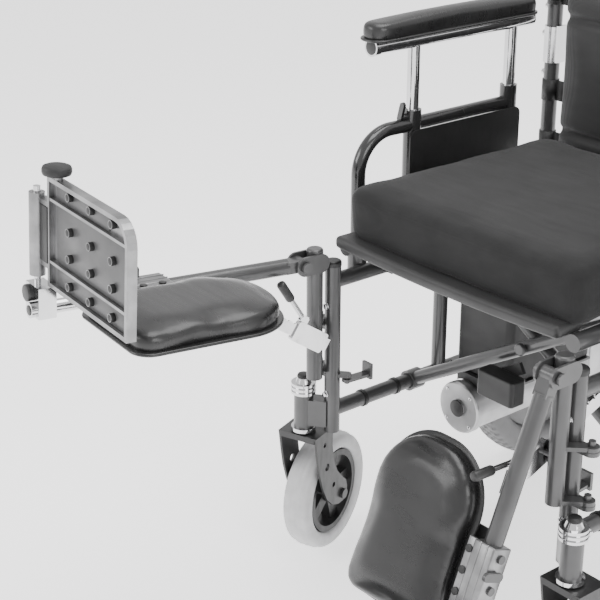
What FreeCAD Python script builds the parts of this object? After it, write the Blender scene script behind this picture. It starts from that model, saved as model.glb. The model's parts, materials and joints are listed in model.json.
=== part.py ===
import FreeCAD, Part
import Sketcher
import math
import os
from FreeCAD import Placement, Rotation, Vector

# Powered folding wheelchair, in millimetres.
# +X is the rider's left, -Y is forward, +Z is up. Every piece is laid out from the point on the
# floor midway between the two front posts, then the whole chair is moved by chair_shift so that
# the origin lies under the middle of its bounding box.

# ---------------------------------------------------------------------------
# Driving dimensions: word, millimetres or degrees, meaning
# ---------------------------------------------------------------------------
DIMENSIONS = (
    ("chair_shift", -121.831, "move along Y that centres the chair on its origin"),
    ("chair_side", 9.654, "move along X that centres the chair on its origin"),
    ("tube_dia", 25.0, "posts and back canes"),
    ("rail_dia", 24.4, "frame rails, slimmer than the posts that they are welded to"),
    ("upright_dia", 23.8, "middle upright, slimmer than the rails"),
    ("cane_foot", 266.0, "lower end of the back cane"),
    ("frame_half", 245.0, "centre line to side frame"),
    ("post_foot", 243.0, "lower end of the front post"),
    ("post_top", 524.0, "upper end of the front post"),
    ("lower_rail", 280.0, "height of the lower rail"),
    ("upper_rail", 498.0, "height of the upper rail"),
    ("upright_back", 232.0, "front post to middle upright"),
    ("cane_back", 467.0, "front post to back cane"),
    ("cane_top", 925.0, "height of the push handle"),
    ("cane_bend", 55.0, "bend of the back cane"),
    ("rail_end", 596.0, "rear end of the lower rail"),
    ("handle_end", 640.0, "rear end of the push handle"),
    ("grip_dia", 34.0, "push grip"),
    ("grip_length", 105.0, "push grip"),
    ("seat_half", 225.0, "centre line to seat rail"),
    ("seat_rail", 556.0, "height of the seat rails"),
    ("seat_rail_front", 6.0, "front end of the seat rails"),
    ("seat_rail_back", 446.0, "rear end of the seat rails"),
    ("brace_dia", 22.0, "cross brace tube"),
    ("brace_front", 175.0, "front brace arm, from the front post"),
    ("brace_rear", 203.0, "rear brace arm, from the front post"),
    ("sleeve_dia", 34.0, "pivot sleeve of a brace arm"),
    ("sleeve_bore", 25.8, "pivot sleeve of a brace arm"),
    ("pivot_dia", 10.0, "centre pivot bolt"),
    ("caster_half", 280.0, "centre line to caster head"),
    ("caster_lead", -29.0, "caster head, from the front post"),
    ("head_dia", 31.0, "caster head tube"),
    ("head_foot", 247.0, "lower end of the caster head"),
    ("head_top", 306.0, "upper end of the caster head"),
    ("stem_dia", 14.0, "fork stem"),
    ("stem_bore", 14.8, "bore for the fork stem"),
    ("collar_dia", 40.0, "chrome collars of the caster head"),
    ("caster_dia", 200.0, "caster tyre"),
    ("caster_width", 48.0, "caster tyre"),
    ("caster_rim", 142.0, "bore of the caster tyre"),
    ("caster_trail", 67.0, "stem to caster axle"),
    ("caster_turn", 20.0, "swivel of the right caster"),
    ("fork_crown", 238.0, "top of the fork crown"),
    ("fork_half", 31.0, "wheel middle to fork plate"),
    ("plate_thick", 4.0, "fork plates and small steel plates"),
    ("axle_dia", 10.0, "caster axle"),
    ("drive_dia", 350.0, "drive tyre"),
    ("drive_width", 60.0, "drive tyre"),
    ("drive_rim", 250.0, "bore of the drive tyre"),
    ("drive_half", 305.0, "centre line to drive wheel"),
    ("drive_back", 565.0, "front post to drive axle"),
    ("shaft_dia", 20.0, "drive shaft"),
    ("motor_half", 190.0, "centre line to motor"),
    ("motor_height", 231.0, "motor axis"),
    ("motor_dia", 84.0, "motor can"),
    ("motor_face", 90.0, "motor end bell"),
    ("motor_front", 228.0, "front post to motor end bell"),
    ("motor_back", 500.0, "front post to gearbox"),
    ("battery_wide", 120.0, "battery box"),
    ("battery_long", 200.0, "battery box"),
    ("battery_tall", 168.0, "battery box"),
    ("shelf_top", 294.0, "height of the battery shelf"),
    ("hanger_lead", -31.0, "legrest hanger, from the front post"),
    ("hanger_foot", 344.0, "lower end of the hanger"),
    ("hanger_top", 552.0, "upper end of the hanger"),
    ("swing_half", 275.0, "centre line to the swing pins"),
    ("swing_pin", 10.0, "swing pins"),
    ("swing_bore", 10.9, "bores of the hanger plates"),
    ("lock_low", 344.0, "top of the lower swing bracket"),
    ("lock_high", 424.0, "top of the upper swing bracket"),
    ("lock_plate", 6.0, "swing brackets and hanger plates"),
    ("knee_lead", -57.0, "knee pivot, from the front post"),
    ("knee_height", 538.0, "knee pivot"),
    ("right_swing", -5.5, "outward swing of the right legrest"),
    ("right_raise", 3.6, "right legrest above level"),
    ("left_raise", -68.0, "left legrest below level"),
    ("leg_bore", 20.2, "bore of the leg tube"),
    ("slide_dia", 19.6, "sliding chrome tubes"),
    ("foot_reach", 415.0, "knee pivot to footplate"),
    ("left_stretch", 34.0, "how much further the left slide tube is drawn out"),
    ("foot_plug", 21.86, "footplate to the end of the leg's plug"),
    ("footplate_wide", 226.0, "footplate"),
    ("footplate_long", 152.0, "footplate"),
    ("footplate_round", 34.0, "toe corner of the footplate"),
    ("footplate_thick", 14.0, "footplate"),
    ("calf_wide", 185.0, "calf pad"),
    ("calf_long", 255.0, "calf pad"),
    ("calf_thick", 45.0, "calf pad"),
    ("strut_lead", -38.0, "ratchet box pivot, from the front post"),
    ("strut_height", 415.0, "ratchet box pivot"),
    ("strut_inset", 20.0, "leg middle to strut bar"),
    ("strut_long", 230.0, "strut bar"),
    ("strut_high", 20.0, "strut bar"),
    ("strut_thick", 3.0, "strut bar"),
    ("right_strut", 34.1, "right strut above level"),
    ("left_strut", -21.5, "left strut below level"),
    ("arm_half", 262.0, "centre line to armrest"),
    ("arm_front", 63.0, "front leg of the armrest"),
    ("arm_tube", 22.0, "armrest side tube"),
    ("arm_level", 711.0, "height of the armrest side tube"),
    ("arm_bend", 62.0, "bend of the armrest side tube"),
    ("post_front", 172.0, "front armrest post"),
    ("post_rear", 384.0, "rear armrest post"),
    ("socket_dia", 28.0, "armrest post sockets"),
    ("socket_bore", 20.4, "armrest post sockets"),
    ("socket_foot", 535.0, "lower end of the post sockets"),
    ("arm_pad_level", 843.0, "height of the tube under the arm pad"),
    ("arm_pad_wide", 55.0, "arm pad"),
    ("arm_pad_long", 358.0, "arm pad"),
    ("arm_pad_thick", 38.0, "arm pad"),
    ("pod_half", 307.9, "centre line to the joystick box"),
    ("cushion_wide", 480.0, "seat cushion"),
    ("cushion_long", 455.0, "seat cushion"),
    ("cushion_thick", 76.0, "seat cushion"),
    ("back_wide", 440.0, "back upholstery"),
    ("back_tall", 300.0, "back upholstery"),
    ("back_thick", 38.0, "back upholstery"),
    ("tipper_bore", 21.0, "bore of the anti-tipper sockets"),
)

RIGHT = -1
LEFT = 1
SIDES = ((RIGHT, "right"), (LEFT, "left"))
UP = Vector(0, 0, 1)
ACROSS = Vector(1, 0, 0)
NO_TURN = Rotation()

doc = FreeCAD.newDocument("wheelchair")
sheet = doc.addObject("Spreadsheet::Sheet", "Dims")
for row, (word, number, meaning) in enumerate(DIMENSIONS, start=1):
    sheet.set(f"A{row}", word)
    sheet.set(f"B{row}", str(number))
    sheet.set(f"C{row}", meaning)
    sheet.setAlias(f"B{row}", word)
doc.recompute()


class Sizes:
    """The sheet's numbers under their words."""


size = Sizes()
for word, number, meaning in DIMENSIONS:
    setattr(size, word, float(sheet.get(word)))


# ---------------------------------------------------------------------------
# Building blocks
# ---------------------------------------------------------------------------
def bind(part, prop, amount, scale=""):
    """Set a size: a word of the sheet becomes an expression, a number is set as it is."""
    if isinstance(amount, str):
        part.setExpression(prop, f"Dims.{amount}{scale}")
    else:
        setattr(part, prop, amount / 2 if scale else amount)


def number_of(amount):
    return getattr(size, amount) if isinstance(amount, str) else float(amount)


def rod(start, end, diameter):
    """Round bar between two points."""
    bar = doc.addObject("Part::Cylinder", "rod")
    bind(bar, "Radius", diameter, "/2")
    bar.Height = (end - start).Length
    bar.Placement = Placement(start, Rotation(UP, end - start))
    return bar


def cone(start, end, first_dia, last_dia):
    """Tapered round bar between two points."""
    taper = doc.addObject("Part::Cone", "cone")
    bind(taper, "Radius1", first_dia, "/2")
    bind(taper, "Radius2", last_dia, "/2")
    taper.Height = (end - start).Length
    taper.Placement = Placement(start, Rotation(UP, end - start))
    return taper


def block(centre, wide, long, tall, turn=NO_TURN):
    """Box given by its middle and its sizes along X, Y and Z."""
    box = doc.addObject("Part::Box", "block")
    for prop, amount in (("Length", wide), ("Width", long), ("Height", tall)):
        bind(box, prop, amount)
    corner = Vector(number_of(wide), number_of(long), number_of(tall)) * -0.5
    box.Placement = Placement(centre, turn).multiply(Placement(corner, NO_TURN))
    return box


def fuse(pieces):
    joined = doc.addObject("Part::MultiFuse", "fuse")
    joined.Shapes = pieces
    return joined


def cut(base, tools):
    rest = doc.addObject("Part::Cut", "cut")
    rest.Base = base
    rest.Tool = tools[0] if len(tools) == 1 else fuse(tools)
    return rest


def group(pieces):
    """Separate solids kept in one sub-part."""
    together = doc.addObject("Part::Compound", "group")
    together.Links = pieces
    return together


def sleeve(start, end, outer, bore):
    """Round bar bored from end to end."""
    return cut(rod(start, end, outer), [rod(start, end, bore)])


def rounded(part, radius, picks):
    """Fillet the edges of part that picks accepts."""
    doc.recompute()
    chosen = [i for i, edge in enumerate(part.Shape.Edges, start=1) if picks(edge)]
    soft = doc.addObject("Part::Fillet", "rounded")
    soft.Base = part
    soft.Edges = [(i, radius, radius) for i in chosen]
    return soft


def is_circle(edge):
    return edge.Curve.TypeId == "Part::GeomCircle"


def link(start, end, wide, thick, axis):
    """Flat link with round ends, its thickness along axis, from start to end."""
    run = end - start
    half = axis * (thick / 2)
    ends = [rod(p - half, p + half, wide) for p in (start, end)]
    bar = doc.addObject("Part::Box", "bar")
    bar.Length = run.Length
    bar.Width = wide
    bar.Height = thick
    side = axis.cross(run)
    side.normalize()
    turn = Rotation(run, side, axis, "XYZ")
    bar.Placement = Placement(start - half - side * (wide / 2), turn)
    return fuse(ends + [bar])


def outline_body(points, thick):
    """PartDesign plate: a straight-sided outline in the XY plane, padded along Z."""
    body = doc.addObject("PartDesign::Body", "plate")
    sketch = body.newObject("Sketcher::SketchObject", "outline")
    plane = [f for f in body.Origin.OriginFeatures if f.Role == "XY_Plane"][0]
    sketch.AttachmentSupport = [(plane, "")]
    sketch.MapMode = "FlatFace"
    corners = [Vector(x, y, 0) for x, y in points]
    count = len(corners)
    for i in range(count):
        sketch.addGeometry(Part.LineSegment(corners[i], corners[(i + 1) % count]), False)
    for i in range(count):
        sketch.addConstraint(Sketcher.Constraint("Coincident", i, 2, (i + 1) % count, 1))
    pad = body.newObject("PartDesign::Pad", "thickness")
    pad.Profile = sketch
    bind(pad, "Length", thick)
    doc.recompute()
    return body, sketch, pad


def soften(body, base, radius, picks):
    """PartDesign fillet of the edges of base that picks accepts."""
    chosen = [f"Edge{i}" for i, edge in enumerate(base.Shape.Edges, start=1) if picks(edge)]
    fillet = body.newObject("PartDesign::Fillet", "fillet")
    fillet.Base = (base, chosen)
    fillet.Radius = radius
    doc.recompute()
    return fillet


def is_upright(edge):
    low, high = edge.BoundBox.ZMin, edge.BoundBox.ZMax
    return high - low > 1.0 and edge.BoundBox.DiagonalLength < high - low + 0.01


def pad_body(wide, long, thick, corner_radius, edge_radius):
    """Rounded slab centred on Z, standing on the XY plane, with its sizes bound to the sheet."""
    half_wide, half_long = number_of(wide) / 2, number_of(long) / 2
    points = ((-half_wide, -half_long), (half_wide, -half_long), (half_wide, half_long), (-half_wide, half_long))
    body, sketch, pad = outline_body(points, thick)
    for i, kind in enumerate(("Horizontal", "Vertical", "Horizontal", "Vertical")):
        sketch.addConstraint(Sketcher.Constraint(kind, i))
    sketch.addConstraint(Sketcher.Constraint("Symmetric", 0, 1, 1, 2, -1, 1))
    for direction, line, amount in (("DistanceX", 0, wide), ("DistanceY", 1, long)):
        place = sketch.addConstraint(Sketcher.Constraint(direction, line, 1, line, 2, number_of(amount)))
        if isinstance(amount, str):
            sketch.setExpression(f"Constraints[{place}]", f"Dims.{amount}")
    doc.recompute()
    corners = soften(body, pad, corner_radius, is_upright)
    if edge_radius:
        soften(body, corners, edge_radius, lambda edge: not is_upright(edge))
    return body


def bent_tube(points, radius, diameter):
    """Round tube along straight runs joined by arcs of one radius, with its diameter from the sheet."""
    edges = []
    start = points[0]
    for before, corner, after in zip(points, points[1:], points[2:]):
        into = (corner - before).normalize()
        away = (after - corner).normalize()
        turn = into.getAngle(away)
        reach = radius * math.tan(turn / 2)
        first, last = corner - into * reach, corner + away * reach
        bisector = (away - into).normalize()
        middle = corner + bisector * (radius / math.cos(turn / 2) - radius)
        edges.append(Part.LineSegment(start, first).toShape())
        edges.append(Part.Arc(first, middle, last).toShape())
        start = last
    edges.append(Part.LineSegment(start, points[-1]).toShape())
    direction = points[1] - points[0]
    profile = Part.Wire(Part.Circle(points[0], direction, number_of(diameter) / 2).toShape())
    tube = doc.addObject("Part::Feature", "bent_tube")
    tube.Shape = Part.Wire(edges).makePipeShell([profile], True, True)
    return tube


# ---------------------------------------------------------------------------
# Sub-parts: every node is registered with its label and its place in the chair
# ---------------------------------------------------------------------------
CHAIR = Placement(Vector(size.chair_side, size.chair_shift, 0), NO_TURN)
nodes = []


def node(label, part, place=Placement()):
    part.Label = label
    part.Placement = CHAIR.multiply(place).multiply(part.Placement)
    nodes.append(part)


# ---------------------------------------------------------------------------
# Folding frame: one welded side frame per side, with its fittings
# ---------------------------------------------------------------------------
def side_frame(side):
    """Welded side: post, rails, upright, cane, caster head, swing brackets, receivers and shelf."""
    x = side * size.frame_half
    head_x = side * size.caster_half
    pin_x = side * size.swing_half
    arm_x = side * size.arm_half
    lead = size.caster_lead
    rails = [
        rod(Vector(x, 0, size.lower_rail), Vector(x, size.rail_end, size.lower_rail), "rail_dia"),
        rod(Vector(x, 0, size.upper_rail), Vector(x, size.cane_back, size.upper_rail), "rail_dia"),
    ]
    back = size.upright_back
    tubes = rails + [
        rod(Vector(x, 0, size.post_foot), Vector(x, 0, size.post_top), "tube_dia"),
        rod(Vector(x, back, size.lower_rail), Vector(x, back, size.upper_rail), "upright_dia"),
        bent_tube(
            [
                Vector(x, size.cane_back, size.cane_foot),
                Vector(x, size.cane_back, size.cane_top),
                Vector(x, size.handle_end, size.cane_top),
            ],
            size.cane_bend,
            "tube_dia",
        ),
    ]
    head = rod(Vector(head_x, lead, size.head_foot), Vector(head_x, lead, size.head_top), "head_dia")
    bridge = block(Vector((x + head_x) / 2, lead / 2, 275), 32, 26, 44, Rotation(UP, -side * 38))
    brackets = []
    pins = []
    for top in (size.lock_low, size.lock_high):
        plate_z = top - size.lock_plate / 2
        brackets.append(link(Vector(x, 0, plate_z), Vector(pin_x, 0, plate_z), 22, size.lock_plate, UP))
        pins.append(rod(Vector(pin_x, 0, top - 1), Vector(pin_x, 0, top + 14), "swing_pin"))
    latch_arm = link(Vector(x, 0, size.lock_low - 3), Vector(x - side * 17, 16, size.lock_low - 3), 14, 6, UP)
    latch_pin = rod(Vector(x - side * 17, 16, 327), Vector(x - side * 17, 16, 339), 8)
    receivers = [
        rod(Vector(arm_x, y, 486), Vector(arm_x, y, 530), 30) for y in (size.arm_front, size.post_rear)
    ]
    receiver_bores = [
        rod(Vector(arm_x, y, 511), Vector(arm_x, y, 531), "arm_tube") for y in (size.arm_front, size.post_rear)
    ]
    shelf = block(Vector(side * 169, 350, size.shelf_top - 2), 140, 190, 4)
    axle_plate = block(Vector(side * 232, 556, 245), 8, 68, 92)
    welded = fuse(tubes + [head, bridge, latch_arm, latch_pin, shelf, axle_plate] + brackets + pins + receivers)
    stem_hole = rod(Vector(head_x, lead, size.head_foot - 1), Vector(head_x, lead, 302), "stem_bore")
    return cut(welded, [stem_hole] + receiver_bores)


def frame_fittings(side):
    """Black plastic pieces: post plug, seat rail saddles and cable ties."""
    x = side * size.frame_half
    plug = rod(Vector(x, 0, size.post_top), Vector(x, 0, size.post_top + 9), 26.5)
    soft_plug = rounded(plug, 4, lambda edge: is_circle(edge) and edge.BoundBox.ZMin > size.post_top + 5)
    saddles = []
    for y in (112, 330):
        saddle = block(Vector(side * 232, y, 518), 38, 40, 44)
        groove = rod(Vector(x, 60, size.upper_rail), Vector(x, 400, size.upper_rail), "rail_dia")
        saddles.append(cut(saddle, [groove]))
    ties = [
        sleeve(Vector(x, y, size.lower_rail), Vector(x, y + 6, size.lower_rail), 28, "rail_dia") for y in (60, 130)
    ]
    return group([soft_plug] + saddles + ties)


def chrome_fittings(side):
    """Turned collars and cap of the caster head, and the clamp sleeve of the cane with its bolts."""
    x = side * size.frame_half
    head_x = side * size.caster_half
    lead = size.caster_lead
    stack = []
    for foot, dia in ((306, "collar_dia"), (310, 34), (313, "collar_dia"), (317, 34), (320, "collar_dia")):
        stack.append(rod(Vector(head_x, lead, foot), Vector(head_x, lead, foot + 4), dia))
    stack.append(cone(Vector(head_x, lead, 324), Vector(head_x, lead, 335), 27, 17))
    ring_foot = Vector(head_x, lead, 241)
    lower_ring = sleeve(ring_foot, Vector(head_x, lead, size.head_foot), "collar_dia", "stem_bore")
    y = size.cane_back
    clamp = sleeve(Vector(x, y, 768), Vector(x, y, 827), 31, "tube_dia")
    bolts = []
    for z, reach in ((857, 13), (812, 16), (748, 13)):
        bolts.append(rod(Vector(x + side * reach, y, z), Vector(x + side * (reach + 5), y, z), 10))
    plate = block(Vector(x - side * 17.8, y - 2, 800), 4, 20, 60)
    return group([fuse(stack), lower_ring, clamp, plate] + bolts)


def push_grip(side):
    """Ribbed rubber grip, closed at its rear end."""
    x = side * size.frame_half
    back = size.handle_end
    front = back - size.grip_length
    shell = rod(Vector(x, front, size.cane_top), Vector(x, back + 6, size.cane_top), "grip_dia")
    soft = rounded(shell, 5, is_circle)
    return cut(soft, [rod(Vector(x, front - 1, size.cane_top), Vector(x, back, size.cane_top), "tube_dia")])


def tipper_socket(side):
    """Round receiver welded to the rear end of the lower rail."""
    x = side * size.frame_half
    front = size.rail_end
    tube = rod(Vector(x, front, size.lower_rail), Vector(x, front + 44, size.lower_rail), 29)
    bore = rod(Vector(x, front + 4, size.lower_rail), Vector(x, front + 45, size.lower_rail), "tipper_bore")
    return cut(tube, [bore])


def swing_latch(side):
    """Latch lever with its paddle, under the lower swing bracket."""
    pivot = Vector(side * (size.frame_half - 17), 16, 333)
    tip = pivot + Vector(-side * 3, 34, 0)
    lever = link(pivot, tip, 16, 5, UP)
    paddle = block(tip + Vector(0, 6, 6), 20, 5, 26)
    bore = rod(pivot - UP * 5, pivot + UP * 5, 8.8)
    return cut(fuse([lever, paddle]), [bore])


# ---------------------------------------------------------------------------
# Cross brace: two arms that carry the seat rails
# ---------------------------------------------------------------------------
def crossing_height():
    """Height at which the two brace arms cross."""
    share = size.frame_half / (size.frame_half + size.seat_half)
    return size.lower_rail + (size.seat_rail - size.lower_rail) * share


def brace_arm(side, arm_back):
    """Arm from the pivot sleeve on the lower rail of one side to the seat rail of the other."""
    foot = Vector(side * size.frame_half, arm_back, size.lower_rail)
    head = Vector(-side * size.seat_half, arm_back, size.seat_rail)
    half = Vector(0, 13, 0)
    along = Vector(0, 1, 0)
    rail_front = Vector(head.x, size.seat_rail_front, size.seat_rail)
    rail_back = Vector(head.x, size.seat_rail_back, size.seat_rail)
    rail = rod(rail_front, rail_back, "tube_dia")
    arm = rod(foot, head, "brace_dia")
    hinge = rod(foot - half, foot + half, "sleeve_dia")
    crossing = Vector(0, arm_back, crossing_height())
    rail_bore = rod(foot - half - along, foot + half + along, "sleeve_bore")
    pivot_bore = rod(crossing - half, crossing + half, 10.9)
    return cut(fuse([arm, rail, hinge]), [rail_bore, pivot_bore])


def brace_front_arm():
    """Front arm together with the centre bolt that it carries."""
    return group([brace_arm(RIGHT, size.brace_front), pivot_bolt()])


def pivot_bolt():
    """Bolt through both arms with a domed head and a nut."""
    z = crossing_height()
    front, back = size.brace_front - 11, size.brace_rear + 11
    shank = rod(Vector(0, front - 3, z), Vector(0, back + 3, z), "pivot_dia")
    head = rounded(rod(Vector(0, front - 9, z), Vector(0, front - 0.6, z), 20), 3, is_circle)
    nut = rod(Vector(0, back + 0.6, z), Vector(0, back + 8, z), 17)
    return fuse([shank, head, nut])


def power_module():
    """Controller box strapped to the front brace arm."""
    x = -20
    box = pad_body(74, 32, 42, 7, 3)
    box.Placement = Placement(Vector(x, 143, 340), NO_TURN)
    strap = block(Vector(x, 160, 380), 60, 6, 18, Rotation(Vector(0, 1, 0), -30.4))
    arm_foot = Vector(-size.frame_half, size.brace_front, size.lower_rail)
    arm = rod(arm_foot, Vector(size.seat_half, size.brace_front, size.seat_rail), "brace_dia")
    return group([box, cut(strap, [arm])])


# ---------------------------------------------------------------------------
# Drive: motors, battery boxes and rear wheels
# ---------------------------------------------------------------------------
def motor(side):
    """Motor can with end bell, gearbox and the bored output boss."""
    x = side * size.motor_half
    z = size.motor_height
    can = rod(Vector(x, size.motor_front + 12, z), Vector(x, size.motor_back + 4, z), "motor_dia")
    bell = rounded(
        rod(Vector(x, size.motor_front, z), Vector(x, size.motor_front + 13, z), "motor_face"), 4,
        lambda edge: is_circle(edge) and edge.BoundBox.YMax < size.motor_front + 1,
    )
    hub = rod(Vector(x, size.motor_front - 3, z), Vector(x, size.motor_front + 3, z), 26)
    gearbox = rounded(block(Vector(side * 189, 555, 214), 77.5, 108, 148), 10, lambda edge: edge.Length > 60)
    boss = rod(Vector(side * 226, size.drive_back, 175), Vector(side * 266, size.drive_back, 175), 54)
    bore = rod(Vector(side * 238, size.drive_back, 175), Vector(side * 270, size.drive_back, 175), 20.8)
    plate = block(Vector(side * 232, 560, 245), 8, 72, 92)
    return cut(fuse([can, bell, hub, gearbox, boss]), [bore, plate])


def brake_cover(side):
    """Cover of the brake and cable connector, saddled on the motor can."""
    x = side * size.motor_half
    cover = rounded(block(Vector(x, 272, 273), 52, 52, 30), 5, is_upright)
    can = rod(Vector(x, 200, size.motor_height), Vector(x, 320, size.motor_height), "motor_face")
    return cut(cover, [can])


def battery_box(side):
    """Battery case on the shelf of its side frame."""
    box = pad_body("battery_wide", "battery_long", "battery_tall", 12, 5)
    box.Placement = Placement(Vector(side * 163, 350, size.shelf_top), NO_TURN)
    return box


def tyre(outer, wide, bore, shoulder):
    """Tyre on the X axis through the origin, round-shouldered."""
    half = Vector(number_of(wide) / 2, 0, 0)
    solid = rounded(rod(half * -1, half, outer), shoulder, is_circle)
    return cut(solid, [rod(half * -2, half * 2, bore)])


def drive_rim(side):
    """Flat wheel centre with round lightening holes, hub and drive shaft."""
    web = rounded(rod(Vector(-9, 0, 0), Vector(9, 0, 0), "drive_rim"), 3, is_circle)
    hub = rod(Vector(-27, 0, 0), Vector(27, 0, 0), 62)
    shaft = rod(Vector(-side * 60, 0, 0), Vector(side * 20, 0, 0), "shaft_dia")
    holes = []
    for turn in range(5):
        angle = math.radians(72 * turn)
        middle = Vector(0, 72 * math.cos(angle), 72 * math.sin(angle))
        holes.append(rod(middle - ACROSS * 10, middle + ACROSS * 10, 48))
    return cut(fuse([web, hub, shaft]), holes)


# ---------------------------------------------------------------------------
# Casters, laid out from the swivel axis on the floor
# ---------------------------------------------------------------------------
def caster_fork():
    """Fork of two flat plates, with crown, stem, axle bolt and lightening holes."""
    half, trail, axle_z = size.fork_half, size.caster_trail, size.caster_dia / 2
    rear_edge = ((34, 238), (33, 205), (38, 175), (50, 150), (66, 132), (trail + 12, 120))
    axle_end = ((trail + 16, 106), (trail + 13, 92), (trail + 3, 85), (trail - 14, 86))
    front_edge = ((34, 94), (16, 112), (2, 140), (-8, 170), (-14, 200), (-20, 238))
    outline = rear_edge + axle_end + front_edge
    stem = rod(Vector(0, 0, size.fork_crown - 2), Vector(0, 0, 300), "stem_dia")
    crown = block(Vector(0, 7, size.fork_crown - 5), 2 * half, 54, 10)
    axle = rod(Vector(-half - 3, trail, axle_z), Vector(half + 3, trail, axle_z), "axle_dia")
    solids = [stem, crown, axle]
    hole_spots = ((8, 216, 9), (16, 172, 13), (38, 130, 9))
    for side in (RIGHT, LEFT):
        plate, sketch, pad = outline_body(outline, "plate_thick")
        start = half if side == LEFT else -half - size.plate_thick
        plate.Placement = Placement(Vector(start, 0, 0), Rotation(Vector(0, 1, 0), UP, ACROSS, "ZXY"))
        holes = [rod(Vector(side * 25, y, z), Vector(side * 40, y, z), dia) for y, z, dia in hole_spots]
        solids.append(cut(plate, holes))
        tip = side * (half + size.plate_thick)
        solids.append(rod(Vector(tip, trail, axle_z), Vector(tip + side * 5, trail, axle_z), 17))
    return fuse(solids)


def caster_hub():
    """Five-spoke plastic hub, bored for the axle."""
    ring = sleeve(Vector(-19, 0, 0), Vector(19, 0, 0), "caster_rim", 122)
    hub = rod(Vector(-26, 0, 0), Vector(26, 0, 0), 42)
    spokes = []
    for turn in range(5):
        angle = 72 * turn
        middle = Rotation(ACROSS, angle).multVec(Vector(0, 40, 0))
        spokes.append(block(middle, 18, 48, 22, Rotation(ACROSS, angle)))
    return cut(fuse([ring, hub] + spokes), [rod(Vector(-30, 0, 0), Vector(30, 0, 0), 10.8)])


# ---------------------------------------------------------------------------
# Legrests. The hanger stands in the chair's place; leg pieces are laid out from the knee pivot
# with -Y along the leg, +Z towards the toes, and "inboard" counted towards the other leg.
# ---------------------------------------------------------------------------
def hanger(side):
    """Hanger tube with its two plates for the swing pins, the knee yoke and the strut pivot."""
    x = side * size.frame_half
    pin_x = side * size.swing_half
    y = size.hanger_lead
    tube = rod(Vector(x, y, size.hanger_foot), Vector(x, y, size.hanger_top), "tube_dia")
    cap = rounded(
        rod(Vector(x, y, size.hanger_top - 1), Vector(x, y, size.hanger_top + 7), 26), 4,
        lambda edge: is_circle(edge) and edge.BoundBox.ZMin > size.hanger_top + 3,
    )
    knee = Vector(x, size.knee_lead, size.knee_height)
    cheeks = []
    for off in (-13.6, 13.6):
        cheeks.append(link(knee + Vector(off, 0, 0), Vector(x + off, y + 2, knee.z), 30, 4, ACROSS))
    knee_pin = rod(knee - ACROSS * 19, knee + ACROSS * 19, 10)
    heads = [rod(knee + ACROSS * off, knee + ACROSS * (off + 4), 17) for off in (-22, 18)]
    plates, bores = [], []
    for low in (size.lock_low, size.lock_high):
        z = low + 0.4 + size.lock_plate / 2
        plates.append(link(Vector(x, y, z), Vector(pin_x, 0, z), 16, size.lock_plate, UP))
        plates.append(rod(Vector(pin_x, 0, low + 0.4), Vector(pin_x, 0, low + 0.4 + size.lock_plate), 21))
        bores.append(rod(Vector(pin_x, 0, low - 5), Vector(pin_x, 0, low + 16), "swing_bore"))
    strut_y, strut_z = size.strut_lead, size.strut_height
    strut_pin = rod(Vector(x - side * 6, strut_y, strut_z), Vector(x - side * 17, strut_y, strut_z), 8)
    return cut(fuse([tube, cap, knee_pin, strut_pin] + cheeks + heads + plates), bores)


def inboard(side, amount):
    return -side * amount


def leg_tube(side):
    """Upper leg: knee lug, bored tube, clamp collar with cam lever, strut lug and calf pad bracket."""
    lug = rod(Vector(-11, 0, 0), Vector(11, 0, 0), 21)
    neck = block(Vector(0, -15, 0), 22, 30, 18)
    tube = rod(Vector(0, -26, 0), Vector(0, -300, 0), "tube_dia")
    collar = rounded(block(Vector(0, -266, 0), 32, 68, 32), 5, lambda edge: edge.Length > 60)
    bolts = [rod(Vector(inboard(side, -15), -y, 0), Vector(inboard(side, -21), -y, 0), 12) for y in (244, 288)]
    cam = link(Vector(inboard(side, -24), -266, 0), Vector(inboard(side, -24), -266, 24), 12, 5, ACROSS)
    cam_pin = rod(Vector(inboard(side, -14), -266, 0), Vector(inboard(side, -25), -266, 0), 9)
    strut_lug = block(Vector(inboard(side, 12.5), -150, -12), 3, 32, 34)
    bracket = block(Vector(inboard(side, 70), -250, -14.6), 130, 60, 4)
    slide_bore = rod(Vector(0, -85, 0), Vector(0, -301, 0), "leg_bore")
    knee_bore = rod(Vector(-12, 0, 0), Vector(12, 0, 0), 10.9)
    welded = fuse([lug, neck, tube, collar, cam, cam_pin, strut_lug, bracket] + bolts)
    return cut(welded, [slide_bore, knee_bore])


def foot_reach(side):
    """Knee pivot to footplate, which is longer on the left because its slide tube is drawn out."""
    return size.foot_reach + (size.left_stretch if side == LEFT else 0.0)


def leg_extension(side):
    """Chrome slide tube with its end bracket and the footplate hinge pin."""
    reach = foot_reach(side)
    tube = rod(Vector(0, 265 - reach, 0), Vector(0, -reach - 12, 0), "slide_dia")
    end = block(Vector(inboard(side, -9), -reach, 10), 42, 26, 44)
    plug = rod(Vector(0, -reach - 11, 0), Vector(0, -reach - size.foot_plug, 0), 22)
    hinge = Vector(inboard(side, -20), -reach, 0)
    pin = rod(hinge + UP * 30, hinge + UP * 166, 10)
    return fuse([tube, end, plug, pin])


def plate_outline(wide, long, radius):
    """Outline of a plate whose inboard toe corner is an arc; X runs inboard and Y towards the toes."""
    steps = 6
    points = [(0, 0), (wide, 0)]
    for step in range(steps + 1):
        angle = math.radians(90 * step / steps)
        points.append((wide - radius + radius * math.cos(angle), long - radius + radius * math.sin(angle)))
    return points + [(0, long)]


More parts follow.
